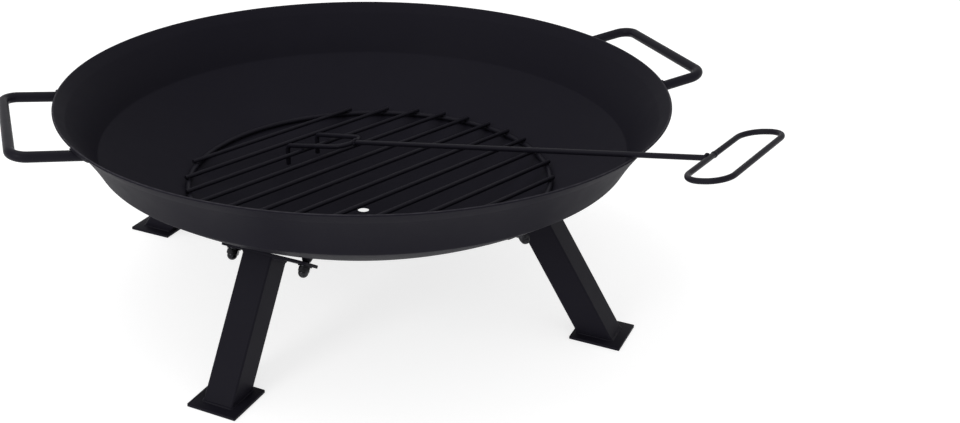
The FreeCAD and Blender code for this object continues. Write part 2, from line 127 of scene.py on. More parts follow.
# Grate: a wire ring with parallel bars on top of it, slid a little up one side of the dish
LOOSE_GAP = 0.35 * MM
RIM_GAP = 0.5 * MM
RING_RADIUS = 182.8 * MM
RING_WIRE = 2.5 * MM
RING_HEIGHT = DISH_CENTRE.z + LOOSE_GAP - math.sqrt(
    (DISH_RADIUS - SHEET - RING_WIRE) ** 2 - RING_RADIUS ** 2
)
BAR_WIRE = 2.25 * MM
BAR_HEIGHT = RING_HEIGHT + RING_WIRE + BAR_WIRE
BAR_COUNT = 11
BAR_SPACING = 29.4 * MM
BAR_OFFSET = 1.3 * MM
BAR_OVERHANG = 0.3 * MM
SPOT_RADIUS = 2.4 * MM
SPOT_HEIGHT = 1.5 * MM
GRATE_TURN = math.radians(26.1)
GRATE_SLIP = 8.8 * MM
GRATE_SLIP_HEADING = math.radians(-62.3)

# Poker: its own axes are X along the rod from the fork to the loop, Y across and Z up
POKER_WIRE = 2.5 * MM
POKER_FORK = Vector((-1.1 * MM, 29.8 * MM, 0.0))
POKER_HEADING = math.radians(-59.4)
POKER_ROLL = math.radians(1.0)
PRONG_SPREAD = 20.0 * MM
PRONG_BASE = 16.5 * MM
PRONG_LENGTHS = (75.0 * MM, 80.0 * MM)
PRONG_BEND = 16.0 * MM
PRONG_REST_BAR = 9
HOOK_LENGTH = 22.0 * MM
HOOK_LEAN = math.radians(13.0)
HOOK_BEND = 6.0 * MM
LOOP_START = 404.0 * MM
LOOP_END = 441.5 * MM
LOOP_LOW = -56.0 * MM
LOOP_HIGH = 73.0 * MM
LOOP_CORNER = 17.5 * MM
LOOP_JOINT = 9.0 * MM
LOOP_SKEW = math.radians(4.0)
POKER_WELD = 1.9 * MM
BULGE_REACH = 2.2 * MM

# Weld ripples' pitch, and how close two points count as one
RIPPLE = 1.5 * MM
SAME_POINT = 0.01 * MM


# Node graphs ----------------------------------------------------------------------------------


class Signal:
    """An output socket that ordinary arithmetic can be written with."""

    def __init__(self, graph, socket):
        self.graph = graph
        self.socket = socket

    def maths(self, operation, *values):
        return self.graph.node("ShaderNodeMath", {"operation": operation}, dict(enumerate(values)))

    def __add__(self, other):
        return self.maths("ADD", self, other)

    def __radd__(self, other):
        return self.maths("ADD", other, self)

    def __sub__(self, other):
        return self.maths("SUBTRACT", self, other)

    def __rsub__(self, other):
        return self.maths("SUBTRACT", other, self)

    def __mul__(self, other):
        return self.maths("MULTIPLY", self, other)

    def __rmul__(self, other):
        return self.maths("MULTIPLY", other, self)

    def __pow__(self, other):
        return self.maths("POWER", self, other)

    def between(self, low, high):
        """0 up to low, 1 from high on, and a soft step between them."""
        return self.graph.node(
            "ShaderNodeMapRange", {"interpolation_type": "SMOOTHSTEP"},
            {"Value": self, "From Min": low, "From Max": high},
        )


class Graph:
    """A node tree that is written as calls and sums."""

    def __init__(self, tree):
        self.tree = tree

    def node(self, kind, settings=None, sockets=None, output=0):
        made = self.tree.nodes.new(kind)
        for name, value in (settings or {}).items():
            setattr(made, name, value)
        for name, value in (sockets or {}).items():
            if isinstance(value, Signal):
                self.tree.links.new(value.socket, made.inputs[name])
            else:
                made.inputs[name].default_value = value
        return Signal(self, made.outputs[output]) if len(made.outputs) else made


# Finishes -------------------------------------------------------------------------------------


def noise_at(graph, place, scale, detail=2.0, roughness=0.5):
    return graph.node(
        "ShaderNodeTexNoise", None,
        {"Vector": place, "Scale": scale, "Detail": detail, "Roughness": roughness}, "Fac",
    )


def blended(graph, amount, first, second):
    return graph.node(
        "ShaderNodeMix", {"data_type": "RGBA"}, {"Factor": amount, 6: first, 7: second}, 2,
    )


def finish_with(name, build, **constants):
    """A material whose build function gives the varying inputs of its one surface shader."""
    material = bpy.data.materials.new(name)
    material.use_nodes = True
    material.node_tree.nodes.clear()
    graph = Graph(material.node_tree)
    place = graph.node("ShaderNodeTexCoord", None, None, "Object")
    sockets = build(graph, place)
    sockets.update({key.replace("_", " "): value for key, value in constants.items()})
    shader = graph.node("ShaderNodeBsdfPrincipled", None, sockets, "BSDF")
    graph.node("ShaderNodeOutputMaterial", None, {"Surface": shader})
    return material


def powder_coat(name, colour, worn_colour, gloss, peel, specular, highlight_above=None):
    """Baked black powder: orange peel, fine grain, cloudy gloss, dust, and a painted highlight above a
    height.
    """
    def build(graph, place):
        cloud = noise_at(graph, place, 9.0, 3.0)
        haze = noise_at(graph, place, 55.0, 2.0)
        orange_peel = noise_at(graph, place, 520.0, 1.0)
        grain = noise_at(graph, place, 2600.0, 2.0, 0.6)
        speck = noise_at(graph, place, 1500.0, 0.0).between(0.74, 0.80)
        rub = cloud.between(0.45, 0.75) * 0.30 + haze.between(0.5, 0.8) * 0.15
        # Painted highlight: a lighter band along the top of the rim, broken up by noise, stands in for
        # the light line the rim catches
        coat = blended(graph, rub + speck * 0.35, colour, worn_colour)
        if highlight_above is not None:
            height = graph.node("ShaderNodeSeparateXYZ", None, {"Vector": place}, "Z")
            highlight_patches = noise_at(graph, place, 160.0, 3.0).between(0.42, 0.66)
            painted_highlight = height.between(highlight_above - 1.1 * MM, highlight_above - 0.2 * MM) * (highlight_patches * 0.4 + 0.6)
            coat = blended(graph, painted_highlight, coat, RIM_HIGHLIGHT)
        bump = graph.node(
            "ShaderNodeBump", None,
            {"Strength": peel, "Distance": 0.25 * MM, "Height": orange_peel + grain * 0.35},
        )
        return {
            "Base Color": coat,
            "Roughness": (cloud - 0.5) * 0.16 + (haze - 0.5) * 0.10 + (gloss - 0.05 * grain),
            "Normal": bump,
        }
    return finish_with(name, build, Specular_IOR_Level=specular)


def black_zinc(name):
    """Black plating on turned steel: faint scratch bumps and brighter rubbed patches."""
    def build(graph, place):
        cloud = noise_at(graph, place, 240.0, 3.0)
        scratch = noise_at(graph, place, 1800.0, 2.0, 0.7)
        bump = graph.node(
            "ShaderNodeBump", None, {"Strength": 0.25, "Distance": 0.08 * MM, "Height": scratch},
        )
        return {
            "Base Color": blended(graph, cloud.between(0.35, 0.7), ZINC, ZINC_RUBBED),
            "Roughness": cloud * 0.16 + 0.14,
            "Metallic": 0.9 - cloud.between(0.5, 0.8) * 0.35,
            "Normal": bump,
        }
    return finish_with(name, build)


COAT = (0.0094, 0.0087, 0.0131, 1.0)
COAT_RUBBED = (0.0128, 0.0120, 0.0170, 1.0)
# Lighter colour painted along the rim top as a highlight
RIM_HIGHLIGHT = (0.040, 0.038, 0.045, 1.0)
WELD_RUBBED = (0.011, 0.0105, 0.015, 1.0)
ZINC = (0.012, 0.012, 0.014, 1.0)
ZINC_RUBBED = (0.040, 0.040, 0.044, 1.0)
finishes = {
    "bowl_coat": powder_coat("bowl powder coat", COAT, COAT_RUBBED, 0.56, 0.22, 0.03, RIM_HEIGHT),
    "handle_coat": powder_coat("handle powder coat", COAT, COAT_RUBBED, 0.42, 0.14, 0.06),
    "leg_coat": powder_coat("leg powder coat", COAT, COAT_RUBBED, 0.48, 0.20, 0.04),
    "weld_coat": powder_coat("coated weld bead", COAT, WELD_RUBBED, 0.44, 0.25, 0.06),
    "grate_coat": powder_coat("grate coat", COAT, COAT_RUBBED, 0.50, 0.16, 0.07),
    "poker_coat": powder_coat("poker coat", COAT, COAT_RUBBED, 0.44, 0.12, 0.07),
    "fastener": black_zinc("black zinc"),
}


# Mesh work ------------------------------------------------------------------------------------


def outward(mesh, merge=0.0):
    """Merges a mesh's doubles and turns its faces outwards."""
    work = bmesh.new()
    work.from_mesh(mesh)
    if merge:
        bmesh.ops.remove_doubles(work, verts=work.verts, dist=merge)
    bmesh.ops.recalc_face_normals(work, faces=work.faces)
    work.to_mesh(mesh)
    work.free()


def mesh_of(name, shapes):
    """One mesh out of several (points, faces) shapes."""
    points, faces = [], []
    for shape_points, shape_faces in shapes:
        start = len(points)
        points += [tuple(point) for point in shape_points]
        faces += [[start + i for i in face] for face in shape_faces]
    mesh = bpy.data.meshes.new(name)
    mesh.from_pydata(points, [], faces)
    outward(mesh)
    return mesh


def new_piece(name, mesh, body, slot, replaces=(), smooth=35.0):
    """A finished piece: its object, finish, body and the CAD nodes that it stands for."""
    mesh.materials.clear()
    mesh.materials.append(finishes[slot])
    for face in mesh.polygons:
        face.material_index = 0
    mesh.shade_smooth()
    mesh.set_sharp_from_angle(angle=math.radians(smooth))
    piece = bpy.data.objects.new(name, mesh)
    bpy.context.scene.collection.objects.link(piece)
    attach(piece, body)
    if replaces:
        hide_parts(*replaces)
    return piece


def evaluated_mesh(holder, name):
    """The plain mesh that an object's modifiers make, and the holder is removed."""
    ready = holder.evaluated_get(bpy.context.evaluated_depsgraph_get())
    mesh = bpy.data.meshes.new_from_object(ready)
    mesh.name = name
    holder.modifiers.clear()
    bpy.data.objects.remove(holder)
    return mesh


def holder_of(mesh):
    holder = bpy.data.objects.new("holder", mesh)
    bpy.context.scene.collection.objects.link(holder)
    return holder


def add_edge_break(holder, angle):
    bevel = holder.modifiers.new("edge break", "BEVEL")
    bevel.width = EDGE_BREAK
    bevel.segments = 2
    bevel.limit_method = "ANGLE"
    bevel.angle_limit = math.radians(angle)


def broken_edges(mesh):
    """A mesh with its sharp edges slightly rounded."""
    holder = holder_of(mesh)
    add_edge_break(holder, 40)
    return evaluated_mesh(holder, mesh.name)


def rounded_path(points, bends, steps=6):
    """A path's points, with an arc at each inner corner that has a bend radius."""
    path = [points[0]]
    for before, corner, after, bend in zip(points, points[1:], points[2:], bends):
        if not bend:
            path.append(corner)
            continue
        to_before = (before - corner).normalized()
        to_after = (after - corner).normalized()
        half = to_before.angle(to_after) / 2
        enter = corner + to_before * (bend / math.tan(half))
        centre = corner + (to_before + to_after).normalized() * (bend / math.sin(half))
        inward = (enter - centre).normalized()
        forward = -to_before
        for turn in np.linspace(0, math.pi - 2 * half, steps + 1):
            path.append(centre + (inward * math.cos(turn) + forward * math.sin(turn)) * bend)
    path.append(points[-1])
    return path


def arc_points(centre, start, end, count):
    """Points of an arc in the r-z plane, about a centre, from start to end."""
    first = math.atan2(start.z - centre.z, start.x - centre.x)
    last = math.atan2(end.z - centre.z, end.x - centre.x)
    radius = (start - centre).length
    return [
        centre + Vector((math.cos(angle), 0, math.sin(angle))) * radius
        for angle in np.linspace(first, last, count)
    ]


def turned(section, steps):
    """A closed section in the r-z plane, turned about the Z axis."""
    angles = [TURN * i / steps for i in range(steps)]
    rings = [[(p.x * math.cos(a), p.x * math.sin(a), p.z) for p in section] for a in angles]
    return skinned(rings, True)


def skinned(rings, closed=False):
    """A skin over rings of equally many points, joined end to end or capped at both ends."""
    count = len(rings[0])
    points = [point for ring in rings for point in ring]
    spans = len(rings) if closed else len(rings) - 1
    faces = [
        (i * count + j, i * count + (j + 1) % count,
         (i + 1) % len(rings) * count + (j + 1) % count, (i + 1) % len(rings) * count + j)
        for i in range(spans) for j in range(count)
    ]
    if not closed:
        faces.append(tuple(range(count)))
        faces.append(tuple(range(len(points) - count, len(points))))
    return points, faces


def swept(path, radius, sides=20, closed=False, rounding=0.0):
    """A round wire along a path; an open wire's ends are rounded at their edges."""
    count = len(path)
    radii = list(radius) if isinstance(radius, (list, tuple)) else [radius] * count
    if closed:
        tangents = [(path[(i + 1) % count] - path[i - 1]).normalized() for i in range(count)]
    else:
        inner = [(path[i + 1] - path[i - 1]).normalized() for i in range(1, count - 1)]
        tangents = [(path[1] - path[0]).normalized(), *inner, (path[-1] - path[-2]).normalized()]
    stations = list(zip(path, tangents, radii))
    if rounding and not closed:
        corner = [math.radians(angle) for angle in (90, 60, 30)]
        start = [
            (path[0] + tangents[0] * rounding * (1 - math.sin(a)), tangents[0],
             radii[0] - rounding * (1 - math.cos(a)))
            for a in corner
        ]
        end = [
            (path[-1] - tangents[-1] * rounding * (1 - math.sin(a)), tangents[-1],
             radii[-1] - rounding * (1 - math.cos(a)))
            for a in reversed(corner)
        ]
        first = (path[0] + tangents[0] * rounding, tangents[0], radii[0])
        last = (path[-1] - tangents[-1] * rounding, tangents[-1], radii[-1])
        stations = start + [first] + stations[1:-1] + [last] + end
    side = tangents[0].orthogonal().normalized()
    sideways = []
    for place, tangent, size in stations:
        side = (side - tangent * side.dot(tangent)).normalized()
        sideways.append(side)
    twist = 0.0
    if closed:
        carried = (sideways[-1] - tangents[0] * sideways[-1].dot(tangents[0])).normalized()
        twist = math.atan2(tangents[0].dot(carried.cross(sideways[0])), carried.dot(sideways[0]))
    skin = []
    for number, ((place, tangent, size), across) in enumerate(zip(stations, sideways)):
        upward = tangent.cross(across)
        start_angle = twist * number / len(stations)
        skin.append([
            place + (across * math.cos(start_angle + TURN * k / sides)
                     + upward * math.sin(start_angle + TURN * k / sides)) * size
            for k in range(sides)
        ])
    return skinned(skin, closed)


def bead(path, first, second, leg, closed=False, seed=0.0):
    """A rippled weld bead in the corner between two directions, along a path."""
    count = len(path)
    travelled = [0.0]
    for here, there in zip(path, path[1:]):
        travelled.append(travelled[-1] + (there - here).length)
    whole = travelled[-1] + ((path[0] - path[-1]).length if closed else 0.0)
    ripples = max(2, round(whole / RIPPLE))
    rings = []
    for i in range(count):
        share = travelled[i] / whole
        wander = noise.noise(path[i] * 130 + Vector((seed, 0, 0)))
        size = leg * (1 + 0.16 * wander)
        if not closed:
            to_end = min(share, 1 - share) * whole
            size *= math.sqrt(max(0.02, 1 - max(0.0, 1 - to_end / (1.3 * leg)) ** 2))
        ring = [path[i] - (first[i] + second[i]) * size * 0.4]
        for angle in np.linspace(math.radians(-25), math.radians(115), 9):
            crescent = 0.30 * math.sin(angle - math.pi / 4) ** 2
            scale = math.sin(math.pi * (share * ripples + crescent + 0.12 * wander))
            reach = size * (0.84 + 0.16 * abs(scale))
            out = first[i] * math.cos(angle) + second[i] * math.sin(angle)
            ring.append(path[i] + out * reach)
        rings.append(ring)
    return skinned(rings, closed)


def polar_solid(rings, sides):
    """A solid about the Z axis from (radius, z) rings, where a radius may be a function."""
    angles = [TURN * k / sides for k in range(sides)]
    points, faces = [], []
    for radius, z in rings:
        for angle in angles:
            size = radius(angle) if callable(radius) else radius
            points.append((size * math.cos(angle), size * math.sin(angle), z))
    for i in range(len(rings) - 1):
        for j in range(sides):
            k = (j + 1) % sides
            faces.append((i * sides + j, i * sides + k, (i + 1) * sides + k, (i + 1) * sides + j))
    return points, faces


def placed(shape, matrix):
    points, faces = shape
    return [matrix @ Vector(point) for point in points], faces


# Geometry node trees --------------------------------------------------------------------------


def node_tree(name, inputs):
    """A geometry tree with named inputs; gives its graph, its input sockets and identifiers."""
    tree = bpy.data.node_groups.new(name, "GeometryNodeTree")
    tree.interface.new_socket("Geometry", in_out="OUTPUT", socket_type="NodeSocketGeometry")
    identifiers = {}
    for label, kind in inputs.items():
        socket = tree.interface.new_socket(label, in_out="INPUT", socket_type="NodeSocket" + kind)
        identifiers[label] = socket.identifier
    graph = Graph(tree)
    entry = tree.nodes.new("NodeGroupInput")
    given = {label: Signal(graph, entry.outputs[label]) for label in inputs}
    return graph, given, identifiers


def close_tree(graph, shape, material):
    """Realize Instances and Set Material, as the last steps of a tree."""
    real = graph.node("GeometryNodeRealizeInstances", None, {"Geometry": shape})
    coated = graph.node("GeometryNodeSetMaterial", None, {"Geometry": real, "Material": material})
    graph.node("NodeGroupOutput", None, {"Geometry": coated})


def run_tree(graph, identifiers, values, mesh, edge_break=False):
    """The plain mesh that a tree makes from a mesh and its named input values."""
    holder = holder_of(mesh)
    modifier = holder.modifiers.new("tree", "NODES")
    modifier.node_group = graph.tree
    for label, value in values.items():
        modifier[identifiers[label]] = value
    if edge_break:
        add_edge_break(holder, 50)
    made = evaluated_mesh(holder, mesh.name)
    outward(made)
    return made


def bars_tree():
    """Parallel round bars, each as long as the circle lets it be."""
    graph, given, identifiers = node_tree("parallel bars in a circle", {
        "Bar Count": "Int", "Bar Spacing": "Float", "First Bar": "Float", "Circle Radius": "Float",
        "Wire Radius": "Float", "Height": "Float", "Turn": "Float", "Finish": "Material",
    })
    start = graph.node("ShaderNodeCombineXYZ", None, {"Y": given["First Bar"]})
    step = graph.node("ShaderNodeCombineXYZ", None, {"Y": given["Bar Spacing"]})
    row = graph.node(
        "GeometryNodeMeshLine", {"mode": "OFFSET"},
        {"Count": given["Bar Count"], "Start Location": start, "Offset": step},
    )
    place = graph.node("GeometryNodeInputPosition")
    across = graph.node("ShaderNodeSeparateXYZ", None, {"Vector": place}, "Y")
    half = (given["Circle Radius"] * given["Circle Radius"] - across * across) ** 0.5
    size = graph.node("ShaderNodeCombineXYZ", None, {"X": half, "Y": 1.0, "Z": 1.0})
    line = graph.node(
        "GeometryNodeCurvePrimitiveLine", {"mode": "POINTS"},
        {"Start": (-1.0, 0.0, 0.0), "End": (1.0, 0.0, 0.0)},
    )
    lines = graph.node(
        "GeometryNodeInstanceOnPoints", None, {"Points": row, "Instance": line, "Scale": size},
    )
    paths = graph.node("GeometryNodeRealizeInstances", None, {"Geometry": lines})
    round_wire = graph.node(
        "GeometryNodeCurvePrimitiveCircle", {"mode": "RADIUS"},
        {"Resolution": 20, "Radius": given["Wire Radius"]},
    )
    bars = graph.node(
        "GeometryNodeCurveToMesh", None,
        {"Curve": paths, "Profile Curve": round_wire, "Fill Caps": True},
    )
    lift = graph.node("ShaderNodeCombineXYZ", None, {"Z": given["Height"]})
    turn = graph.node("ShaderNodeCombineXYZ", None, {"Z": given["Turn"]})
    set_down = graph.node(
        "GeometryNodeTransform", None, {"Geometry": bars, "Translation": lift, "Rotation": turn},
    )
    close_tree(graph, set_down, given["Finish"])
    return graph, identifiers


def fitted_tree():
    """One part on each marked point, turned as the point says and spun by a seeded amount."""
    graph, given, identifiers = node_tree("part on each marked point", {
        "Places": "Geometry", "Part": "Object", "Spin": "Float", "Seed": "Int", "Finish": "Material",
    })
    part = graph.node("GeometryNodeObjectInfo", None, {"Object": given["Part"]}, "Geometry")
    turn = graph.node(
        "GeometryNodeInputNamedAttribute", {"data_type": "FLOAT_VECTOR"}, {"Name": "turn"},
    )
    parts = graph.node(
        "GeometryNodeInstanceOnPoints", None,
        {"Points": given["Places"], "Instance": part, "Rotation": turn},
    )
    amount = graph.node(
        "FunctionNodeRandomValue", {"data_type": "FLOAT"},
        {2: -1.0, 3: 1.0, "Seed": given["Seed"]}, 1,
    )
    spin = graph.node("ShaderNodeCombineXYZ", None, {"Z": amount * given["Spin"]})
    spun = graph.node(
        "GeometryNodeRotateInstances", None, {"Instances": parts, "Rotation": spin, "Local Space": True},
    )
    close_tree(graph, spun, given["Finish"])
    return graph, identifiers


def fit_on_places(name, part_shape, places, slot, spin, seed):
    """A mesh with one copy of a part at each placement matrix."""
    part_mesh = mesh_of(name + " part", [part_shape])
    outward(part_mesh, SAME_POINT)
    part = holder_of(part_mesh)
    points = bpy.data.meshes.new(name)
    points.from_pydata([tuple(place.translation) for place in places], [], [])
    turns = points.attributes.new("turn", "FLOAT_VECTOR", "POINT")
    for item, place in zip(turns.data, places):
        item.vector = place.to_euler()
    graph, identifiers = fitted_tree()
    values = {"Part": part, "Spin": spin, "Seed": seed, "Finish": finishes[slot]}
    made = run_tree(graph, identifiers, values, points)
    bpy.data.objects.remove(part)
    return made


# Bowl -----------------------------------------------------------------------------------------


def direction(lean):
    """Unit vector in the r-z plane, leaning outwards from straight up."""
    return Vector((math.sin(lean), 0, math.cos(lean)))


def wall_centre():
    """The point outside the bowl about which its wall curves."""
    drop = SHEET * math.sin(LIP_LEAN)
    run = (LIP_HEIGHT - drop) * math.tan(LIP_LEAN)
    crease = Vector((RIM_RADIUS - run, 0, RIM_HEIGHT - LIP_HEIGHT))
    return crease + Vector((math.cos(WALL_TOP_LEAN), 0, -math.sin(WALL_TOP_LEAN))) * WALL_FLARE


def section_points(inset):
    """The section's knuckle, crease and edge, moved inwards from the outer face by inset."""
    drop = SHEET * math.sin(LIP_LEAN)
    inward = Vector((-math.cos(LIP_LEAN), 0, math.sin(LIP_LEAN)))
    edge = Vector((RIM_RADIUS, 0, RIM_HEIGHT - drop)) + inward * inset
    flare_centre = wall_centre()
    flare = WALL_FLARE + inset
    down = -direction(LIP_LEAN)
    from_centre = edge - flare_centre
    half_b = from_centre.dot(down)
    to_crease = -half_b + math.sqrt(half_b ** 2 - from_centre.length_squared + flare ** 2)
    crease = edge + down * to_crease
    between = flare_centre - DISH_CENTRE
    apart = between.length
    dish = DISH_RADIUS - inset
    along = (dish ** 2 - flare ** 2 + apart ** 2) / (2 * apart)
    between.normalize()
    aside = Vector((between.z, 0, -between.x)) * math.sqrt(dish ** 2 - along ** 2)
    knuckle = DISH_CENTRE + between * along + aside
    return knuckle, crease, edge


def on_dish(radius, inset):
    """A point of the section, on the dish's face at an inset, at a radius from the middle."""
    below = math.sqrt((DISH_RADIUS - inset) ** 2 - radius ** 2)
    return DISH_CENTRE - UP * below + Vector((radius, 0, 0))


def bowl_section():
    """The sheet's closed section, from the drain hole up the outside and down the inside."""
    outer_knuckle, outer_crease, outer_edge = section_points(0.0)
    inner_knuckle, inner_crease, inner_edge = section_points(SHEET)
    outer_dish = arc_points(DISH_CENTRE, on_dish(DRAIN_RADIUS, 0), outer_knuckle, 40)
    inner_dish = arc_points(DISH_CENTRE, inner_knuckle, on_dish(DRAIN_RADIUS, SHEET), 40)
    outer_wall = arc_points(wall_centre(), outer_knuckle, outer_crease, 9)
    inner_wall = arc_points(wall_centre(), inner_crease, inner_knuckle, 9)
    corners = [(p, 0.0) for p in outer_dish[1:-1]]
    corners += [(outer_knuckle, KNUCKLE_BEND + SHEET)] + [(p, 0.0) for p in outer_wall[1:-1]]
    corners += [(outer_crease, LIP_BEND), (outer_edge, RIM_ROUNDING), (inner_edge, RIM_ROUNDING)]
    corners += [(inner_crease, LIP_BEND + SHEET)] + [(p, 0.0) for p in inner_wall[1:-1]]
    corners += [(inner_knuckle, KNUCKLE_BEND)] + [(p, 0.0) for p in inner_dish[1:-1]]
    corners = [(outer_dish[0], DRAIN_ROUNDING)] + corners + [(inner_dish[-1], DRAIN_ROUNDING)]
    hole_wall = (outer_dish[0] + inner_dish[-1]) / 2
    path = [hole_wall] + [p for p, bend in corners] + [hole_wall]
    return rounded_path(path, [bend for p, bend in corners], 5)[:-1]


def make_bowl():
    mesh = mesh_of("bowl shell", [turned(bowl_section(), BOWL_STEPS)])
    return new_piece("bowl_shell", mesh, "bowl_and_legs", "bowl_coat", ["fire_bowl"], 60.0)


def outer_radius(height):
    """The outer face's radius at a height on the wall or lip."""
    crease = section_points(0.0)[1]
    if height >= crease.z:
        return crease.x + (height - crease.z) * math.tan(LIP_LEAN)
    centre = wall_centre()
    return centre.x - math.sqrt(WALL_FLARE ** 2 - (height - centre.z) ** 2)


def to_wall(start, heading, far):
    """Where a line from outside meets the bowl's outer face, found by halving."""
    near = 0.0
    for _ in range(40):
        middle = (near + far) / 2
        point = start + heading * middle
        if math.hypot(point.x, point.y) > outer_radius(point.z):
            near = middle
        else:
            far = middle
    return start + heading * near


# Handles --------------------------------------------------------------------------------------


def handle_matrix(side):
    tilt = Matrix.Rotation(-HANDLE_TILT[side], 4, "Y")
    out = Matrix.Translation((HANDLE_REACH[side], 0, RIM_HEIGHT - HANDLE_DROP[side]))
    return Matrix.Rotation(HANDLE_TURN[side], 4, "Z") @ out @ tilt


def make_handle(side):
    """The bent rod, whose ends follow the wall and run just into its sheet."""
    place = handle_matrix(side)
    half = HANDLE_WIDTH / 2
    inward = (place.to_3x3() @ Vector((-1, 0, 0))).normalized()
    grip = [place @ Vector((0, across, 0)) for across in (-half, half)]
    ends = [to_wall(start, inward, HANDLE_LENGTH) for start in grip]
    path = rounded_path([ends[0], *grip, ends[1]], [HANDLE_BEND, HANDLE_BEND], 14)
    sides = 28
    end_rings = [*range(sides), *range(-sides, 0)]
    points, faces = swept(path, HANDLE_ROD, sides)
    for i in end_rings:
        start = points[i] - inward * HANDLE_BEND
        points[i] = to_wall(start, inward, HANDLE_LENGTH) + inward * SHEET * 0.4
    mesh = mesh_of("handle " + side, [(points, faces)])
    nodes = ["handle_" + side]
    return new_piece("handle_%s_rod" % side, mesh, "bowl_and_legs", "handle_coat", nodes, 50.0)


def rod_joint(place, across):
    """The line where a handle's leg meets the wall, with the corner's two directions."""
    inward = (place.to_3x3() @ Vector((-1, 0, 0))).normalized()
    side = (place.to_3x3() @ Vector((0, 1, 0))).normalized()
    upward = inward.cross(side)
    path, along, away = [], [], []
    steps = 168
    for k in range(steps):
        angle = TURN * k / steps
        out = side * math.cos(angle) + upward * math.sin(angle)
        start = place @ Vector((0, across, 0)) + out * HANDLE_ROD
        point = to_wall(start, inward, 1.4 * HANDLE_LENGTH)
        beyond = to_wall(start + out * 0.5 * MM, inward, 1.4 * HANDLE_LENGTH)
        path.append(point)
        along.append(-inward)
        away.append((beyond - point).normalized())
    return path, along, away


def make_handle_welds():
    shapes = []
    for side, turn in HANDLE_TURN.items():
        for across in (-HANDLE_WIDTH / 2, HANDLE_WIDTH / 2):
            path, along, away = rod_joint(handle_matrix(side), across)
            shapes.append(bead(path, along, away, HANDLE_WELD, True, turn + across * 50))
    mesh = mesh_of("handle weld beads", shapes)
    return new_piece("handle_weld_beads", mesh, "bowl_and_legs", "weld_coat", ["handle_welds"], 70.0)


# Legs -----------------------------------------------------------------------------------------


def leg_matrix(azimuth):
    """Leg axes: Z up the tube from the ground, Y round the bowl, X outwards."""
    lean = Matrix.Rotation(-LEG_LEAN, 4, "Y")
    out = Matrix.Translation((LEG_GROUND_RADIUS, 0, 0))
    return Matrix.Rotation(math.radians(azimuth), 4, "Z") @ out @ lean


def foot_matrix(azimuth):
    return Matrix.Rotation(math.radians(azimuth), 4, "Z") @ Matrix.Translation((FOOT_RADIUS, 0, 0))


def rounded_rectangle(length, width, corner, steps=6, shoulder=0.0):
    """Outline of a rectangle with round corners, with a point either side of each corner."""
    outline = []
    for quarter, (sx, sy) in enumerate(((1, 1), (-1, 1), (-1, -1), (1, -1))):
        centre = Vector((sx * (length / 2 - corner), sy * (width / 2 - corner), 0))
        turn = quarter * math.pi / 2
        arc = [
            centre + Vector((math.cos(a), math.sin(a), 0)) * corner
            for a in np.linspace(turn, (quarter + 1) * math.pi / 2, steps + 1)
        ]
        if shoulder:
            before = Vector((math.sin(turn), -math.cos(turn), 0))
            after = Vector((-math.cos(turn), -math.sin(turn), 0))
            arc = [arc[0] + before * shoulder] + arc + [arc[-1] + after * shoulder]
        outline += arc
    return outline


def tube_foot_height(x):
    """A leg tube's local height where it meets the top of the foot plate."""
    return (FOOT_THICKNESS - x * math.sin(LEG_LEAN)) / math.cos(LEG_LEAN)


def make_leg_tube(name, azimuth):
    """Square tube, cut level at the foot plate and square at the mounting strip."""
    inner_side = TUBE_SIDE - 2 * TUBE_WALL
    outside = rounded_rectangle(TUBE_SIDE, TUBE_SIDE, TUBE_CORNER, 6, CORNER_SHOULDER)
    inside = rounded_rectangle(inner_side, inner_side, TUBE_CORNER - TUBE_WALL, 6, CORNER_SHOULDER)
    rings = [
        [Vector((p.x, p.y, tube_foot_height(p.x))) for p in outside],
        [Vector((p.x, p.y, TUBE_LENGTH)) for p in outside],
        [Vector((p.x, p.y, TUBE_LENGTH)) for p in inside],
        [Vector((p.x, p.y, tube_foot_height(p.x))) for p in inside],
    ]
    tube = placed(skinned(rings, True), leg_matrix(azimuth))
    mesh = mesh_of("leg tube " + name, [tube])
    return new_piece("leg_" + name, mesh, "bowl_and_legs", "leg_coat", ["leg_tube_" + name])


def plate(outline, holes, thickness):
    """A flat plate from z = 0 upwards, with an outline and holes through it."""
    loops = [outline] + holes
    flat = [Vector((p.x, p.y)) for loop in loops for p in loop]
    starts = np.cumsum([0] + [len(loop) for loop in loops])
    rims = [list(range(a, b)) for a, b in zip(starts, starts[1:])]
    verts, _, faces, *_ = geometry.delaunay_2d_cdt(flat, [], rims, 5, 1e-7)
    low = [(v.x, v.y, 0.0) for v in verts]
    high = [(v.x, v.y, thickness) for v in verts]
    count = len(verts)
    skin = [tuple(f) for f in faces] + [tuple(count + i for i in f) for f in faces]
    for rim in rims:
        for a, b in zip(rim, rim[1:] + rim[:1]):
            skin.append((a, b, count + b, count + a))
    return low + high, skin


def circle(centre, radius, count=32):
    return [
        centre + Vector((math.cos(TURN * k / count), math.sin(TURN * k / count), 0)) * radius
        for k in range(count)
    ]


def make_strip(name, azimuth):
    """Mounting strip across the top of a leg, with a hole for each stud."""
    outline = rounded_rectangle(STRIP_WIDTH, STRIP_LENGTH, STRIP_CORNER, 8)
    holes = [circle(Vector((0, sign * STUD_SPACING / 2, 0)), STUD_HOLE) for sign in (-1, 1)]
    top = leg_matrix(azimuth) @ Matrix.Translation((0, STRIP_SHIFTS[name], TUBE_LENGTH))
    strip = placed(plate(outline, holes, STRIP_THICKNESS), top)
    mesh = mesh_of("mounting strip " + name, [strip])
    mesh = broken_edges(mesh)
    nodes = ["mounting_strip_" + name]
    return new_piece("strip_" + name, mesh, "bowl_and_legs", "leg_coat", nodes)


def make_foot(name, azimuth):
    outline = rounded_rectangle(FOOT_SIDE, FOOT_SIDE, FOOT_CORNER, 6)
    foot = placed(plate(outline, [], FOOT_THICKNESS), foot_matrix(azimuth))
    mesh = mesh_of("foot plate " + name, [foot])
    mesh = broken_edges(mesh)
    return new_piece("foot_" + name, mesh, "bowl_and_legs", "leg_coat", ["foot_plate_" + name])


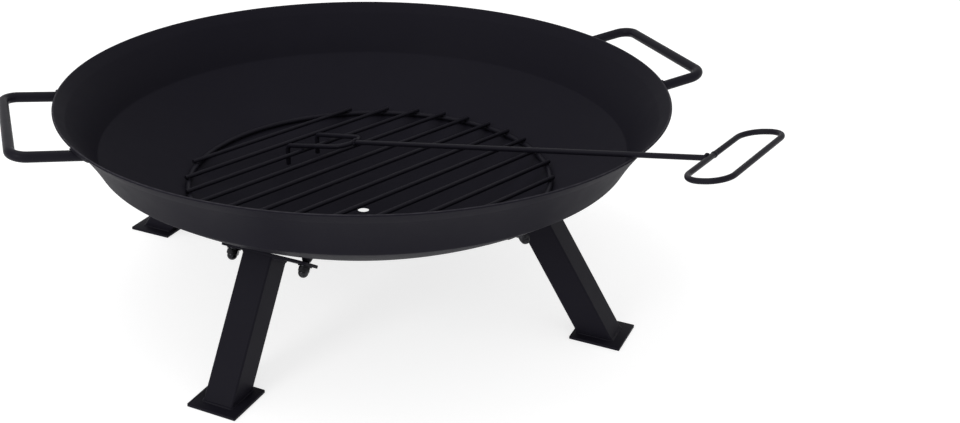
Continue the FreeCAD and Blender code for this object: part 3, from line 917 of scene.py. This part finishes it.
def spread_points(points, gap, closed):
    """The points of a path with more points between them, no further apart than gap."""
    ends = points[1:] + points[:1] if closed else points[1:]
    dense = []
    for here, there in zip(points, ends):
        count = max(1, math.ceil((there - here).length / gap))
        dense += [here.lerp(there, k / count) for k in range(count)]
    return dense if closed else dense + [points[-1]]


def make_foot_welds():
    """Bead round the bottom of each tube, on its foot plate."""
    shapes = []
    for number, azimuth in enumerate(LEG_AZIMUTHS.values()):
        place = leg_matrix(azimuth)
        outline = rounded_rectangle(TUBE_SIDE, TUBE_SIDE, TUBE_CORNER, 6)
        outline = spread_points(outline, RIPPLE / 5, True)
        path = [place @ Vector((p.x, p.y, tube_foot_height(p.x))) for p in outline]
        up_tube = (place.to_3x3() @ UP).normalized()
        centre = sum(path, Vector()) / len(path)
        away = []
        for before, here, after in zip([path[-1]] + path, path, path[1:] + path[:1]):
            flat = (after - before).cross(UP).normalized()
            away.append(flat if flat.dot(here - centre) > 0 else -flat)
        shapes.append(bead(path, [up_tube] * len(path), away, FOOT_WELD, True, number * 7.3))
    mesh = mesh_of("foot weld beads", shapes)
    return new_piece("foot_weld_beads", mesh, "bowl_and_legs", "weld_coat", ["foot_welds"], 70.0)


def make_strip_welds():
    """Beads on both sides of each tube's top, under the arms of its mounting strip."""
    shapes = []
    reach = TUBE_SIDE / 2 - TUBE_CORNER * 0.7
    for number, azimuth in enumerate(LEG_AZIMUTHS.values()):
        place = leg_matrix(azimuth)
        for sign in (-1, 1):
            ends = [Vector((x, sign * TUBE_SIDE / 2, TUBE_LENGTH)) for x in (-reach, reach)]
            path = [place @ p for p in spread_points(ends, RIPPLE / 5, False)]
            down_tube = [(place.to_3x3() @ -UP).normalized()] * len(path)
            away = [(place.to_3x3() @ Vector((0, sign, 0))).normalized()] * len(path)
            shapes.append(bead(path, down_tube, away, STRIP_WELD, False, number + sign))
    mesh = mesh_of("strip weld beads", shapes)
    return new_piece("strip_weld_beads", mesh, "bowl_and_legs", "weld_coat", ["strip_welds"], 70.0)


# Fasteners ------------------------------------------------------------------------------------


def stud_matrices():
    """Each stud's axes: the leg's own, with the origin on the strip's lower face."""
    return [
        leg_matrix(azimuth) @ Matrix.Translation((0, STRIP_SHIFTS[name] + across, TUBE_LENGTH))
        for name, azimuth in LEG_AZIMUTHS.items() for across in (-STUD_SPACING / 2, STUD_SPACING / 2)
    ]


def height_to_dish(place, x, y):
    """Height in a stud's axes at which a line along it meets the dish's outer face."""
    start = place @ Vector((x, y, 0))
    heading = place.to_3x3() @ UP
    from_centre = start - DISH_CENTRE
    half_b = from_centre.dot(heading)
    return -half_b - math.sqrt(half_b ** 2 - from_centre.length_squared + DISH_RADIUS ** 2)


def threaded_stud():
    """A stud with a rolled thread, from inside its nut up into the bowl's sheet."""
    low = -(WASHER_THICKNESS + NUT_BORE_DEPTH - 1.0 * MM)
    high = max(height_to_dish(place, 0, 0) for place in stud_matrices()) + SHEET * 0.15
    rings = [(0.0, low), (STUD_RADIUS - 2 * THREAD_DEPTH, low)]
    steps = math.floor((high - low - THREAD_PITCH) / (THREAD_PITCH / 2))
    for k in range(1, steps):
        rings.append((STUD_RADIUS - (THREAD_DEPTH if k % 2 else 0.0), low + k * THREAD_PITCH / 2))
    rings += [(STUD_RADIUS, high - THREAD_PITCH / 2), (STUD_RADIUS, high), (0.0, high)]
    return polar_solid(rings, 32)


def washer():
    low = -WASHER_THICKNESS
    corners = [(STUD_HOLE, 0), (WASHER_RADIUS, 0), (WASHER_RADIUS, low), (STUD_HOLE, low)]
    middle = Vector((STUD_HOLE, 0, low / 2))
    path = [middle] + [Vector((r, 0, z)) for r, z in corners] + [middle]
    return turned(rounded_path(path, [WASHER_ROUNDING] * 4, 2)[:-1], 48)


def cap_nut():
    """Cap nut hanging under its washer: chamfered hexagon, domed cap and a plain bore."""
    top = -WASHER_THICKNESS
    hex_low = top - NUT_HEX
    dome_centre = top - (NUT_HEIGHT - NUT_DOME)

    def hexagon(limit):
        def radius(angle):
            flat = (angle + math.pi / 6) % (math.pi / 3) - math.pi / 6
            return min(NUT_FLATS / 2 / math.cos(flat), limit)
        return radius

    chamfer = NUT_FLATS / 2 / math.cos(math.pi / 6) - NUT_FACE
    shares = (0.0, 0.25, 0.5, 0.75, 1.0)
    rings = [(0.0, top - NUT_BORE_DEPTH), (NUT_BORE, top - NUT_BORE_DEPTH), (NUT_BORE, top)]
    for share in shares:
        slope = chamfer * share * math.tan(NUT_CHAMFER)
        rings.append((hexagon(NUT_FACE + chamfer * share), top - slope))
    for share in reversed(shares):
        slope = chamfer * share * math.tan(NUT_CHAMFER)
        rings.append((hexagon(NUT_FACE + chamfer * share), hex_low + slope))
    rings.append((NUT_DOME * 0.97, hex_low))
    rings.append((NUT_DOME, hex_low - 0.15 * MM))
    for angle in np.linspace(0, math.pi / 2, 12):
        rings.append((NUT_DOME * math.cos(angle), dome_centre - NUT_DOME * math.sin(angle)))
    return polar_solid(rings, 96)


def make_collars():
    """The flared ring of weld metal where each stud meets the bowl."""
    shapes = []
    base = STRIP_THICKNESS + COLLAR_GAP
    for number, place in enumerate(stud_matrices()):
        rings = []
        for share in (0.0, 0.0, 0.08, 0.3, 0.55, 0.8, 1.0, 1.15):
            ring = []
            for k in range(48):
                x, y = math.cos(TURN * k / 48), math.sin(TURN * k / 48)
                foot = COLLAR_FOOT * (0.93 if share == 0.0 else 1.0)
                rise = (height_to_dish(place, COLLAR_FOOT * x, COLLAR_FOOT * y) - base) * share
                lump = 1 + 0.07 * noise.noise(Vector((3 * x, 3 * y, number + share)))
                radius = (foot + rise * math.tan(COLLAR_SLOPE)) * lump
                ring.append(Vector((radius * x, radius * y, base + rise)))
            rings.append(ring)
        rings[0] = [Vector((p.x * 0.7, p.y * 0.7, p.z)) for p in rings[0]]
        shapes.append(placed(skinned(rings), place))
    mesh = mesh_of("stud weld collars", shapes)
    return new_piece("stud_weld_collars", mesh, "bowl_and_legs", "weld_coat", ["stud_collars"], 60.0)


def make_fasteners():
    places = stud_matrices()
    for name, shape, node, spin, seed in (
        ("threaded_studs", threaded_stud(), "weld_studs", math.pi, 3),
        ("flat_washers", washer(), "washers", math.pi, 5),
        ("domed_cap_nuts", cap_nut(), "cap_nuts", math.pi / 6, 8),
    ):
        mesh = fit_on_places(name, shape, places, "fastener", spin, seed)
        new_piece(name, mesh, "bowl_and_legs", "fastener", [node], 28.0)


# Grate ----------------------------------------------------------------------------------------


def bar_offset(number):
    """A bar's distance from the grate's centre, across the bars; number counts from 1."""
    return (number - (BAR_COUNT + 1) / 2) * BAR_SPACING + BAR_OFFSET


def slid():
    """The grate's slide up the dish, which tilts it about the dish's centre."""
    ahead = Vector((math.cos(GRATE_SLIP_HEADING), math.sin(GRATE_SLIP_HEADING), 0))
    tilt = math.asin(GRATE_SLIP / (DISH_CENTRE.z - RING_HEIGHT))
    turn = Matrix.Rotation(tilt, 4, ahead.cross(UP))
    return Matrix.Translation(DISH_CENTRE) @ turn @ Matrix.Translation(-DISH_CENTRE)


def make_grate_ring():
    path = circle(UP * RING_HEIGHT, RING_RADIUS, 240)
    mesh = mesh_of("grate ring", [placed(swept(path, RING_WIRE, 20, True), slid())])
    return new_piece("grate_wire_ring", mesh, "grate", "grate_coat", ["grate_ring"], 60.0)


def make_grate_bars():
    graph, identifiers = bars_tree()
    mesh = run_tree(graph, identifiers, {
        "Bar Count": BAR_COUNT,
        "Bar Spacing": BAR_SPACING,
        "First Bar": bar_offset(1),
        "Circle Radius": RING_RADIUS + RING_WIRE + BAR_OVERHANG,
        "Wire Radius": BAR_WIRE,
        "Height": BAR_HEIGHT,
        "Turn": GRATE_TURN,
        "Finish": finishes["grate_coat"],
    }, bpy.data.meshes.new("grate bars"), True)
    mesh.transform(slid())
    nodes = ["grate_bar_%02d" % number for number in range(1, BAR_COUNT + 1)]
    return new_piece("grate_wire_bars", mesh, "grate", "grate_coat", nodes, 50.0)


def make_spot_welds():
    """The squeezed metal where each bar is spot welded to the ring."""
    places = []
    for number in range(1, BAR_COUNT + 1):
        offset = bar_offset(number)
        for sign in (-1, 1):
            along = sign * math.sqrt(RING_RADIUS ** 2 - offset ** 2)
            middle = Matrix.Translation((along, offset, RING_HEIGHT + RING_WIRE))
            places.append(slid() @ Matrix.Rotation(GRATE_TURN, 4, "Z") @ middle)
    rings = [
        (SPOT_RADIUS * math.cos(angle), SPOT_HEIGHT * math.sin(angle))
        for angle in np.linspace(-math.pi / 2, math.pi / 2, 9)
    ]
    mesh = fit_on_places("spot welds", polar_solid(rings, 18), places, "grate_coat", math.pi, 11)
    return new_piece("grate_spot_welds", mesh, "grate", "grate_coat", (), 70.0)


# Poker ----------------------------------------------------------------------------------------


def poker_matrix():
    """Where the poker lies: its lower prong over one bar and its rod over the rim."""
    ahead = Vector((math.cos(POKER_HEADING), math.sin(POKER_HEADING), 0))
    rim = RIM_RADIUS - SHEET / 2
    half_b = POKER_FORK.dot(ahead)
    to_rim = -half_b + math.sqrt(half_b ** 2 - POKER_FORK.length_squared + rim ** 2)
    lower_prong = POKER_FORK + Vector((ahead.y, -ahead.x, 0)) * PRONG_SPREAD
    grate = slid() @ Matrix.Rotation(GRATE_TURN, 4, "Z")
    bar_middle = grate @ Vector((0, bar_offset(PRONG_REST_BAR), BAR_HEIGHT))
    along_bar = grate.to_3x3() @ Vector((1, 0, 0))
    between = bar_middle - lower_prong
    crossing = ahead.cross(along_bar).z
    to_bar = between.cross(along_bar).z / crossing
    bar_height = bar_middle.z + along_bar.z * between.cross(ahead).z / crossing
    rest = bar_height + BAR_WIRE + LOOSE_GAP + PRONG_SPREAD * math.sin(POKER_ROLL)
    on_rim = RIM_HEIGHT + RIM_GAP
    slope = math.atan2(on_rim - rest, to_rim - to_bar)
    height = on_rim + POKER_WIRE / math.cos(slope) - to_rim * math.tan(slope)
    turn = Matrix.Rotation(POKER_HEADING, 4, "Z") @ Matrix.Rotation(-slope, 4, "Y")
    return Matrix.Translation(POKER_FORK + UP * height) @ turn @ Matrix.Rotation(POKER_ROLL, 4, "X")


def make_poker_fork(place):
    """One wire bent to a U, with both tips turned down as hooks."""
    hook = Vector((-math.sin(HOOK_LEAN), 0, -math.cos(HOOK_LEAN))) * HOOK_LENGTH
    first_tip = Vector((-PRONG_LENGTHS[0], PRONG_SPREAD, 0))
    second_tip = Vector((-PRONG_LENGTHS[1], -PRONG_SPREAD, 0))
    corners = [
        first_tip + hook, first_tip, Vector((0, PRONG_BASE, 0)),
        Vector((0, -PRONG_BASE, 0)), second_tip, second_tip + hook,
    ]
    path = rounded_path(corners, [HOOK_BEND, PRONG_BEND, PRONG_BEND, HOOK_BEND], 10)
    mesh = mesh_of("poker fork", [placed(swept(path, POKER_WIRE, 20, False, 0.7 * MM), place)])
    return new_piece("poker_hook_fork", mesh, "poker", "poker_coat", ["poker_fork"], 50.0)


def make_poker_rod(place):
    start = Vector((POKER_WIRE * 0.6, 0, 0))
    end = Vector((LOOP_START - POKER_WIRE * 0.6, 0, 0))
    mesh = mesh_of("poker rod", [placed(swept([start, end], POKER_WIRE, 20), place)])
    return new_piece("poker_shaft", mesh, "poker", "poker_coat", ["poker_rod"], 50.0)


def skewed(points):
    """Points of the loop, turned about the place where the rod meets it."""
    joint = Vector((LOOP_START, 0, 0))
    return [joint + Matrix.Rotation(LOOP_SKEW, 3, "Z") @ (point - joint) for point in points]


def make_poker_loop(place):
    """One wire bent to a long loop across the rod, its ends meeting beside the rod."""
    corners = [
        Vector((LOOP_START, LOOP_JOINT, 0)), Vector((LOOP_START, LOOP_LOW, 0)),
        Vector((LOOP_END, LOOP_LOW, 0)), Vector((LOOP_END, LOOP_HIGH, 0)),
        Vector((LOOP_START, LOOP_HIGH, 0)), Vector((LOOP_START, LOOP_JOINT, 0)),
    ]
    path = rounded_path(skewed(corners), [LOOP_CORNER] * 4, 14)
    mesh = mesh_of("poker loop", [placed(swept(path, POKER_WIRE, 20, False, 0.4 * MM), place)])
    return new_piece("poker_loop_grip", mesh, "poker", "poker_coat", ["poker_loop"], 50.0)


def make_poker_welds(place):
    """Beads where the rod meets the fork and the loop, and a bulge where the loop closes."""
    shapes = []
    steps = 96
    for x, heading in ((POKER_WIRE * 0.9, 1), (LOOP_START - POKER_WIRE * 0.9, -1)):
        angles = [TURN * k / steps for k in range(steps)]
        out = [Vector((0, math.cos(angle), math.sin(angle))) for angle in angles]
        path = [Vector((x, 0, 0)) + o * POKER_WIRE for o in out]
        shapes.append(bead(path, [Vector((heading, 0, 0))] * steps, out, POKER_WELD, True, x * 9))
    spread = np.linspace(-BULGE_REACH, BULGE_REACH, 23)
    bulge = [Vector((LOOP_START, LOOP_JOINT + y, 0)) for y in spread]
    sizes = [
        POKER_WIRE * (0.97 + 0.20 * math.sqrt(max(0.0, 1 - (y / BULGE_REACH) ** 2)))
        * (1 + 0.03 * noise.noise(Vector(((LOOP_JOINT + y) * 2500, 0, 0))))
        for y in spread
    ]
    shapes.append(swept(skewed(bulge), sizes, 24))
    mesh = mesh_of("poker weld beads", [placed(shape, place) for shape in shapes])
    return new_piece("poker_weld_beads", mesh, "poker", "weld_coat", ["poker_welds"], 70.0)


# Stage ----------------------------------------------------------------------------------------


def make_floor():
    """A pale sweep that glows a little, so that it stays white under and behind the bowl."""
    reach = 30.0
    corners = [(-reach, -reach, 0), (reach, -reach, 0), (reach, reach, 0), (-reach, reach, 0)]
    mesh = bpy.data.meshes.new("pale floor")
    mesh.from_pydata(corners, [], [(0, 1, 2, 3)])

    def build(graph, place):
        cloud = noise_at(graph, place, 3.0)
        return {"Base Color": blended(graph, cloud, (0.44, 0.44, 0.44, 1), (0.46, 0.46, 0.46, 1))}

    material = finish_with(
        "pale floor", build, Roughness=0.9, Specular_IOR_Level=0.1,
        Emission_Color=(1, 1, 1, 1), Emission_Strength=0.72,
    )
    mesh.materials.append(material)
    floor = bpy.data.objects.new("floor", mesh)
    bpy.context.scene.collection.objects.link(floor)


def soft_light(name, place, target, size, power):
    light = bpy.data.lights.new(name, "AREA")
    light.shape = "RECTANGLE"
    light.size, light.size_y = size
    light.energy = power
    lamp = bpy.data.objects.new(name, light)
    lamp.location = place
    lamp.rotation_mode = "QUATERNION"
    lamp.rotation_quaternion = (Vector(target) - Vector(place)).to_track_quat("-Z", "Y")
    bpy.context.scene.collection.objects.link(lamp)


def make_lights():
    world = bpy.data.worlds.new("white studio")
    world.use_nodes = True
    world.node_tree.nodes.clear()
    graph = Graph(world.node_tree)
    glow = graph.node("ShaderNodeBackground", None, {"Color": (1, 1, 1, 1), "Strength": 0.78})
    graph.node("ShaderNodeOutputWorld", None, {"Surface": glow})
    bpy.context.scene.world = world
    soft_light("overhead softbox", (-0.5, 0.3, 2.2), (0, 0, 0.15), (1.6, 1.2), 10.0)
    soft_light("left softbox", (-1.9, -1.1, 1.2), (0, 0, 0.15), (0.7, 1.0), 14.0)


def make_camera():
    """A long-lens view from the front left, a little above the rim."""
    camera = bpy.data.objects.new("camera", bpy.data.cameras.new("camera"))
    camera.location = (-0.33345, -1.09067, 0.6178)
    camera.rotation_euler = (math.radians(90 - 25.48), 0, math.radians(-17.86))
    camera.data.lens = 45.58
    camera.data.sensor_width = 36.0
    camera.data.shift_x = 0.1042
    bpy.context.scene.collection.objects.link(camera)
    bpy.context.scene.camera = camera


def make_object():
    make_bowl()
    make_handle("right")
    make_handle("left")
    make_handle_welds()
    for name, azimuth in LEG_AZIMUTHS.items():
        make_leg_tube(name, azimuth)
        make_strip(name, azimuth)
        make_foot(name, azimuth)
    make_foot_welds()
    make_strip_welds()
    make_collars()
    make_fasteners()
    make_grate_ring()
    make_grate_bars()
    make_spot_welds()
    poker = poker_matrix()
    make_poker_fork(poker)
    make_poker_rod(poker)
    make_poker_loop(poker)
    make_poker_welds(poker)


make_camera()
make_floor()
make_lights()
make_object()
bpy.context.scene.view_settings.view_transform = "Standard"
